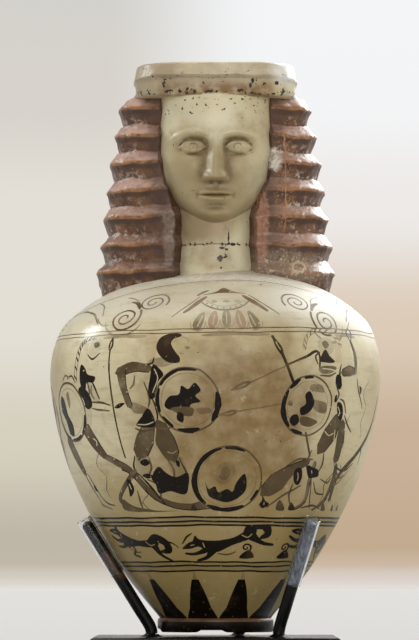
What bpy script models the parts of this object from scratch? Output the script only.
"""Figural aryballos in its stand: a small clay oil flask whose neck is a woman's head, held by three prongs.

Metres, +Z up. The origin is on the underside of the stand's plate, on the flask's axis, and the face looks to -Y.
Heights named *_HEIGHT or given in a profile are measured from the flask's foot.
"""

import math

import bmesh
import bpy

MM = 0.001

# Stand
PLATE_WIDTH = 27.0 * MM
PLATE_THICKNESS = 3.0 * MM
PLATE_EDGE_RADIUS = 0.4 * MM
PRONG_RADIUS = 0.65 * MM
PRONG_TOP_HEIGHT = 12.0 * MM
PRONG_STANDOFF = 1.3 * MM
PRONG_FOOT_GAP = 0.1 * MM
PRONG_ANKLE_HEIGHT = 0.6 * MM
PRONG_KNEE_HEIGHT = 2.9 * MM
SLEEVE_OUTER_RADIUS = 0.84 * MM
SLEEVE_INNER_RADIUS = 0.71 * MM
SLEEVE_OVERHANG = 0.35 * MM
# Each prong's name, azimuth in degrees from the front towards +X, distance of its foot from the axis, and the
# height of its sleeve's lower end and that end's distance from the axis
PRONGS = [
    ("left", -75.0, 7.25 * MM, 6.4 * MM, 11.1 * MM),
    ("right", 45.0, 9.65 * MM, 5.2 * MM, 11.75 * MM),
    ("back", 158.0, 7.3 * MM, 6.2 * MM, 11.0 * MM),
]

# Flask
FOOT_CLEARANCE = 0.5 * MM
FLASK_HEIGHT = 62.0 * MM
FOOT_RADIUS = 6.36 * MM
FOOT_HEIGHT = 1.55 * MM
FOOT_RECESS_RADIUS = 4.6 * MM
FOOT_RECESS_DEPTH = 0.5 * MM
BELLY_RADIUS = 18.15 * MM
WALL = 1.8 * MM
FLOOR_HEIGHT = 3.0 * MM
BORE_RADIUS = 3.35 * MM
MOUTH_FLARE = 0.5 * MM
BODY_STEPS = 56
CAVITY_STEPS = 32

# Neck, head, wig and cap
NECK_RADIUS = 4.3 * MM
NECK_CENTRE_Y = -1.5 * MM
CHIN_HEIGHT = 44.15 * MM
HAIRLINE_HEIGHT = 58.55 * MM
FACE_HALF_WIDTH = 6.5 * MM
FACE_FRONT = 6.4 * MM
FACE_SQUARENESS = 2.25
HEAD_CENTRE_Y = -1.0 * MM
HEAD_BACK = 3.0 * MM
WIG_CENTRE_Y = 0.8 * MM
WIG_HALF_DEPTH = 6.0 * MM
WIG_DEPTH_GAIN = 0.8 * MM
WIG_TOP_HALF_WIDTH = 10.6 * MM
WIG_WIDTH_GAIN = 2.5 * MM
WIG_TIERS = 7
WIG_TOP_RIDGE = 57.35 * MM
WIG_PITCH = 3.01 * MM
WIG_GROOVE_DEPTH = 0.8 * MM
WIG_GROOVE_RISE = 0.95 * MM
WIG_SQUARENESS = 2.5
WIG_BASE_HEIGHT = 36.6 * MM
RECESS_HALF_DEPTH = 6.0 * MM
RECESS_CENTRE_Y = -8.2 * MM
# Height and half width of the slot in the wig's front, narrow beside the neck and wide beside the face
RECESS_SIDES = [(36.0 * MM, 5.0 * MM), (45.0 * MM, 5.0 * MM), (51.5 * MM, 7.5 * MM), (58.9 * MM, 7.5 * MM)]
CAP_HALF_WIDTH = 9.0 * MM
CAP_FRONT = 8.3 * MM
CAP_BACK = 8.3 * MM
CAP_SETBACK = 0.75 * MM
CAP_SQUARENESS = 3.2
CAP_BAND_HEIGHT = 60.45 * MM
BROW_STRIP_HALF_WIDTH = 6.1 * MM

FLASK_Z = PLATE_THICKNESS + FOOT_CLEARANCE
# Body wall above the foot as (height, radius), each a turning point of the outline
BODY_WALL = [
    (FOOT_HEIGHT, 6.1 * MM),
    (6.85 * MM, 10.3 * MM),
    (13.0 * MM, 13.9 * MM),
    (19.7 * MM, 16.7 * MM),
    (27.4 * MM, BELLY_RADIUS),
    (32.6 * MM, 17.4 * MM),
    (35.2 * MM, 15.6 * MM),
    (37.8 * MM, 11.6 * MM),
    (39.1 * MM, 7.7 * MM),
    (39.8 * MM, 4.4 * MM),
]


def clear_scene():
    for item in list(bpy.data.objects):
        bpy.data.objects.remove(item, do_unlink=True)


def make_collection(name):
    collection = bpy.data.collections.new(name)
    bpy.context.scene.collection.children.link(collection)
    return collection


def make_material(name, colour, roughness, metallic=0.0):
    material = bpy.data.materials.new(name)
    material.use_nodes = True
    shader = material.node_tree.nodes["Principled BSDF"]
    shader.inputs["Base Color"].default_value = (*colour, 1.0)
    shader.inputs["Roughness"].default_value = roughness
    shader.inputs["Metallic"].default_value = metallic
    return material


def place(item, collection, material=None):
    collection.objects.link(item)
    if material is not None:
        item.data.materials.append(material)
    return item


def as_cutter(item):
    item.hide_render = True
    item.display_type = "WIRE"
    return item


def smooth_curve(stations, per_span):
    """Points of a Catmull-Rom curve through the (height, radius) stations."""
    points = []
    for i in range(len(stations) - 1):
        before = stations[max(i - 1, 0)]
        start, end = stations[i], stations[i + 1]
        after = stations[min(i + 2, len(stations) - 1)]
        for k in range(per_span):
            t = k / per_span
            points.append(tuple(
                0.5 * (2 * b + (c - a) * t + (2 * a - 5 * b + 4 * c - d) * t ** 2
                       + (3 * b - a - 3 * c + d) * t ** 3)
                for a, b, c, d in zip(before, start, end, after)))
    points.append(stations[-1])
    return points


def turned(name, outline, steps, collection, material=None):
    """A solid of revolution about Z from (radius, height) points, listed from top to bottom."""
    mesh = bpy.data.meshes.new(name)
    points = [(radius, 0.0, height) for radius, height in outline]
    mesh.from_pydata(points, [(i, i + 1) for i in range(len(points) - 1)], [])
    item = place(bpy.data.objects.new(name, mesh), collection, material)
    screw = item.modifiers.new("Screw", "SCREW")
    screw.steps = steps
    screw.render_steps = steps
    screw.use_merge_vertices = True
    screw.merge_threshold = 0.00001
    screw.use_smooth_shade = True
    return item


def loft(name, rings, collection, material=None):
    """A closed skin over a stack of rings of points, lowest first, each running counter-clockwise from above."""
    body = bmesh.new()
    rows = [[body.verts.new(point) for point in ring] for ring in rings]
    count = len(rows[0])
    for lower, upper in zip(rows, rows[1:]):
        for i in range(count):
            j = (i + 1) % count
            body.faces.new((lower[i], lower[j], upper[j], upper[i]))
    body.faces.new(list(reversed(rows[0])))
    body.faces.new(rows[-1])
    mesh = bpy.data.meshes.new(name)
    body.to_mesh(mesh)
    body.free()
    mesh.shade_smooth()
    mesh.set_sharp_from_angle(angle=math.radians(35))
    return place(bpy.data.objects.new(name, mesh), collection, material)


def join(target, tool, operation):
    boolean = target.modifiers.new(operation.title() + " " + tool.name, "BOOLEAN")
    boolean.operation = operation
    boolean.solver = "EXACT"
    boolean.object = tool


def superellipse(half_width, half_depth, power, angle):
    """A point of a rounded rectangle; power 2 is an ellipse and more is squarer."""
    c, s = math.cos(angle), math.sin(angle)
    x = half_width * math.copysign(abs(c) ** (2 / power), c)
    y = half_depth * math.copysign(abs(s) ** (2 / power), s)
    return x, y


def bump(x, z, centre_x, centre_z, width, height):
    """A rounded mound of height 1 at the given centre, lengths in millimetres."""
    return math.exp(-((x - centre_x) / width) ** 2 - ((z - centre_z) / height) ** 2)


def wall_radius(height):
    """Outer radius of the body at a height above the foot."""
    points = smooth_curve(BODY_WALL, 8)
    for (h0, r0), (h1, r1) in zip(points, points[1:]):
        if h0 <= height <= h1:
            return r0 + (r1 - r0) * (height - h0) / (h1 - h0)
    return FOOT_RADIUS


# Flask ---------------------------------------------------------------------------------------------------------

def body_outline():
    wall = [(radius, height) for height, radius in smooth_curve(BODY_WALL, 3)]
    wall.reverse()
    foot = [
        (FOOT_RADIUS - 0.05 * MM, FOOT_HEIGHT),
        (FOOT_RADIUS, FOOT_HEIGHT - 0.3 * MM),
        (FOOT_RADIUS, 0.25 * MM),
        (FOOT_RADIUS - 0.25 * MM, 0.0),
        (FOOT_RECESS_RADIUS, 0.0),
        (FOOT_RECESS_RADIUS - 0.4 * MM, FOOT_RECESS_DEPTH),
        (0.0, FOOT_RECESS_DEPTH),
    ]
    top = wall[0][1]
    return [(0.0, top)] + wall + foot


def cavity_outline():
    inside = []
    for height, radius in reversed(smooth_curve(BODY_WALL, 1)):
        if radius - WALL > BORE_RADIUS and height > FLOOR_HEIGHT:
            inside.append((radius - WALL, height - 0.55 * WALL * (height > 36 * MM)))
    top = FLASK_HEIGHT + 1.0 * MM
    rim = FLASK_HEIGHT - MOUTH_FLARE
    ceiling = inside[0][1] + 0.8 * MM
    bore = [
        (0.0, top),
        (BORE_RADIUS + MOUTH_FLARE + top - FLASK_HEIGHT, top),
        (BORE_RADIUS, rim),
        (BORE_RADIUS, ceiling),
    ]
    floor = [(wall_radius(FLOOR_HEIGHT) - WALL, FLOOR_HEIGHT), (0.0, FLOOR_HEIGHT - 0.3 * MM)]
    return bore + inside + floor


def wig_section(height, half_width, half_depth, count=40):
    points = []
    for i in range(count):
        x, y = superellipse(half_width, half_depth, WIG_SQUARENESS, 2 * math.pi * (i + 0.5) / count)
        points.append((x, y + WIG_CENTRE_Y, height))
    return points


def wig_rings():
    """Seven stepped tiers: each has a short facet sloping out and a taller one falling slightly in."""
    rings = []
    for tier in reversed(range(WIG_TIERS)):
        share = (tier / (WIG_TIERS - 1)) ** 0.8
        half_width = WIG_TOP_HALF_WIDTH + WIG_WIDTH_GAIN * share
        half_depth = WIG_HALF_DEPTH + WIG_DEPTH_GAIN * share
        ridge = WIG_TOP_RIDGE - WIG_PITCH * tier
        if tier == WIG_TIERS - 1:
            rings.append(wig_section(WIG_BASE_HEIGHT, half_width - 0.5 * MM, half_depth - 0.5 * MM))
        rings.append(wig_section(ridge, half_width, half_depth))
        rings.append(wig_section(ridge + WIG_GROOVE_RISE, half_width - WIG_GROOVE_DEPTH,
                                 half_depth - WIG_GROOVE_DEPTH))
    rings.append(wig_section(CAP_BAND_HEIGHT - 0.5 * MM, 8.3 * MM, WIG_HALF_DEPTH - WIG_GROOVE_DEPTH))
    return rings


def neck_recess():
    """A rounded slot down the front of the wig, in which the neck and the face stand clear."""
    rings = []
    for height, half_width in RECESS_SIDES:
        ring = []
        for i in range(24):
            x, y = superellipse(half_width, RECESS_HALF_DEPTH, 3.0, 2 * math.pi * (i + 0.5) / 24)
            ring.append((x, y + RECESS_CENTRE_Y, height))
        rings.append(ring)
    return rings


def jaw_share(rise):
    """Half width of the face as a share of its full half width, at a rise above the chin in millimetres."""
    return min(1.0, (1.0 - (1.0 - min(rise / 8.6, 1.0)) ** 2.3)) ** 0.72


def face_relief(x, z):
    """How far brow, eyes, nose, lips, cheeks and chin stand forward of the plain head, in millimetres.

    z is the height above the chin. The thirds of the face fall at 4.8 and 9.6, and the eyes are one eye apart.
    """
    side = abs(x)
    relief = -0.95 * bump(side, z, 2.5, 8.6, 1.6, 1.0)
    relief += 0.75 * bump(side, z, 2.5, 8.55, 0.95, 0.55)
    relief += 0.30 * bump(side, z, 2.6, 10.2, 2.2, 0.6)
    relief += 0.35 * bump(side, z, 3.6, 6.2, 1.6, 1.6)
    bridge, tip = 10.4, 4.75
    if tip < z < bridge:
        along = (bridge - z) / (bridge - tip)
        width = 0.6 + 0.6 * along ** 1.6
        height = 0.4 + 1.5 * along
        ends = min((z - tip) / 0.45, 1.0) * min((bridge - z) / 1.2, 1.0)
        relief += height * ends * math.exp(-(side / width) ** 2)
    relief += 0.50 * bump(side, z, 0.0, 3.75, 1.7, 0.42)
    relief += 0.55 * bump(side, z, 0.0, 2.75, 1.4, 0.42)
    relief -= 0.35 * bump(side, z, 0.0, 1.95, 1.4, 0.4)
    relief += 0.50 * bump(side, z, 0.0, 1.0, 1.5, 0.8)
    return relief


def head_rings():
    """The head as rings from the chin up: a rounded front with the face on it, and a plain back in the wig."""
    rises = [0.0, 0.2, 0.6, 1.1, 1.6, 2.0, 2.4, 2.75, 3.1, 3.4, 3.75, 4.2, 4.7, 5.1, 5.7, 6.5, 7.3, 7.9, 8.25,
             8.6, 8.95, 9.4, 9.9, 10.5, 11.5, 13.2, 16.1]
    front, back = 32, 6
    rings = []
    for rise in rises:
        share = jaw_share(rise + 0.25)
        half_width = FACE_HALF_WIDTH * share
        under_chin = 1.0 - 0.42 * math.exp(-(rise / 0.75) ** 1.5)
        slope = 0.35 * MM * max(rise - 10.0, 0.0) / 6.0
        half_depth = FACE_FRONT * under_chin - slope
        height = CHIN_HEIGHT + rise * MM
        ring = []
        for i in range(front + 1):
            angle = math.pi + math.pi * i / front
            x, y = superellipse(half_width, half_depth, FACE_SQUARENESS, angle)
            lift = face_relief(x / MM, rise) * MM * max(-math.sin(angle), 0.0)
            ring.append((x, HEAD_CENTRE_Y + y - lift, height))
        for i in range(1, back):
            angle = math.pi * i / back
            ring.append((half_width * math.cos(angle), HEAD_CENTRE_Y + HEAD_BACK * math.sin(angle), height))
        rings.append(ring)
    return rings


def cap_section(height, half_width, front, back, setback, count=56):
    """A rounded rectangle with its own depth to the front and back, and a strip above the brow set back in it."""
    points = []
    for i in range(count):
        x, y = superellipse(half_width, 1.0, CAP_SQUARENESS, 2 * math.pi * (i + 0.5) / count)
        if y > 0:
            points.append((x, y * back, height))
        elif abs(x) > BROW_STRIP_HALF_WIDTH:
            points.append((x, y * front, height))
        else:
            points.append((x, y * front + setback, height))
    return points


def cap_rings():
    """A flat cap: an upper band that flares down to its edge, over a lower band set back above the face."""
    levels = [
        (HAIRLINE_HEIGHT - 0.2 * MM, 0.6 * MM, CAP_SETBACK),
        (HAIRLINE_HEIGHT + 0.2 * MM, 0.3 * MM, CAP_SETBACK),
        (CAP_BAND_HEIGHT - 0.15 * MM, 0.2 * MM, CAP_SETBACK),
        (CAP_BAND_HEIGHT, 0.02 * MM, 0.08 * MM),
        (CAP_BAND_HEIGHT + 0.25 * MM, 0.0, 0.0),
        (FLASK_HEIGHT - 0.35 * MM, 0.3 * MM, 0.0),
        (FLASK_HEIGHT, 0.6 * MM, 0.0),
        (FLASK_HEIGHT - 0.3 * MM, 2.8 * MM, 0.0),
    ]
    return [cap_section(height, CAP_HALF_WIDTH - inset, CAP_FRONT - inset, CAP_BACK - inset, setback)
            for height, inset, setback in levels]


def neck_outline():
    top, bottom = CHIN_HEIGHT + 3.0 * MM, 38.0 * MM
    waist = CHIN_HEIGHT - 2.5 * MM
    return [(0.0, top), (NECK_RADIUS, top), (NECK_RADIUS - 0.1 * MM, waist),
            (NECK_RADIUS + 0.25 * MM, bottom), (0.0, bottom)]


def build_flask(parts, tools):
    clay = make_material("Fired clay", (0.46, 0.39, 0.25), 0.55)
    flask = turned("aryballos", body_outline(), BODY_STEPS, parts, clay)
    wig = as_cutter(loft("wig form", wig_rings(), tools))
    recess = as_cutter(loft("neck recess", neck_recess(), tools))
    head = as_cutter(loft("head form", head_rings(), tools))
    cap = as_cutter(loft("cap form", cap_rings(), tools))
    neck = as_cutter(turned("neck form", neck_outline(), 24, tools))
    neck.location.y = NECK_CENTRE_Y
    cavity = as_cutter(turned("cavity", cavity_outline(), CAVITY_STEPS, tools))
    join(wig, recess, "DIFFERENCE")
    for form in (wig, neck, head, cap):
        join(flask, form, "UNION")
    join(flask, cavity, "DIFFERENCE")
    flask.location.z = FLASK_Z
    for form in (wig, recess, head, cap, neck, cavity):
        form.location.z = FLASK_Z
    return flask


# Stand ---------------------------------------------------------------------------------------------------------

def prong_route(foot_radius, sleeve_height, sleeve_radius):
    """Points (radius, height above the flask's foot) of a prong, from the plate to its tip.

    The prong stands upright on the plate, bends out, and is straight where the sleeve sits.
    """
    start = -FOOT_CLEARANCE + PRONG_FOOT_GAP
    ankle = foot_radius + 0.15 * MM
    share = (PRONG_KNEE_HEIGHT - PRONG_ANKLE_HEIGHT) / (sleeve_height - PRONG_ANKLE_HEIGHT)
    knee = ankle + share * (sleeve_radius - ankle)
    bend = [(start, foot_radius), (PRONG_ANKLE_HEIGHT, ankle), (PRONG_KNEE_HEIGHT, knee),
            (sleeve_height, sleeve_radius)]
    route = [(radius, height) for height, radius in smooth_curve(bend, 3)]
    return route + [(wall_radius(PRONG_TOP_HEIGHT) + PRONG_STANDOFF, PRONG_TOP_HEIGHT)]


def build_prong(name, azimuth, route, parts, steel, plastic):
    """A bent wire and its plastic sleeve."""
    across = (math.sin(azimuth), -math.cos(azimuth))

    def spot(radius, height):
        return (radius * across[0], radius * across[1], height + FLASK_Z)

    curve = bpy.data.curves.new("prong " + name, "CURVE")
    curve.dimensions = "3D"
    curve.bevel_depth = PRONG_RADIUS
    curve.bevel_resolution = 2
    curve.use_fill_caps = True
    spline = curve.splines.new("POLY")
    spline.points.add(len(route) - 1)
    for point, (radius, height) in zip(spline.points, route):
        point.co = (*spot(radius, height), 1.0)
    prong = place(bpy.data.objects.new("prong_" + name, curve), parts, steel)
    sleeve_start, sleeve_end = spot(*route[-2]), spot(*route[-1])
    build_sleeve(name, sleeve_start, sleeve_end, parts, plastic)
    return prong


def build_sleeve(name, start, end, parts, plastic):
    """A short straight tube with open ends, around the straight end of a prong."""
    run = [e - s for s, e in zip(start, end)]
    length = math.sqrt(sum(part ** 2 for part in run)) + SLEEVE_OVERHANG
    outline = [
        (SLEEVE_INNER_RADIUS, length), (SLEEVE_OUTER_RADIUS, length),
        (SLEEVE_OUTER_RADIUS, 0.0), (SLEEVE_INNER_RADIUS, 0.0), (SLEEVE_INNER_RADIUS, length),
    ]
    sleeve = turned("sleeve_" + name, outline, 16, parts, plastic)
    sleeve.location = start
    sleeve.rotation_euler = (0.0, math.atan2(math.hypot(run[0], run[1]), run[2]), math.atan2(run[1], run[0]))
    return sleeve


def build_plate(parts, steel):
    body = bmesh.new()
    bmesh.ops.create_cube(body, size=1.0)
    bmesh.ops.scale(body, vec=(PLATE_WIDTH, PLATE_WIDTH, PLATE_THICKNESS), verts=body.verts)
    bmesh.ops.translate(body, vec=(0.0, 0.0, PLATE_THICKNESS / 2), verts=body.verts)
    mesh = bpy.data.meshes.new("stand_plate")
    body.to_mesh(mesh)
    body.free()
    plate = place(bpy.data.objects.new("stand_plate", mesh), parts, steel)
    bevel = plate.modifiers.new("Bevel", "BEVEL")
    bevel.width = PLATE_EDGE_RADIUS
    bevel.segments = 2
    return plate


def main():
    clear_scene()
    parts = make_collection("Figural aryballos")
    tools = make_collection("Cutters")
    steel = make_material("Black painted steel", (0.02, 0.02, 0.02), 0.35)
    plastic = make_material("Clear plastic", (0.85, 0.85, 0.83), 0.2)
    build_flask(parts, tools)
    build_plate(parts, steel)
    for name, azimuth, *shape in PRONGS:
        build_prong(name, math.radians(azimuth), prong_route(*shape), parts, steel, plastic)


main()
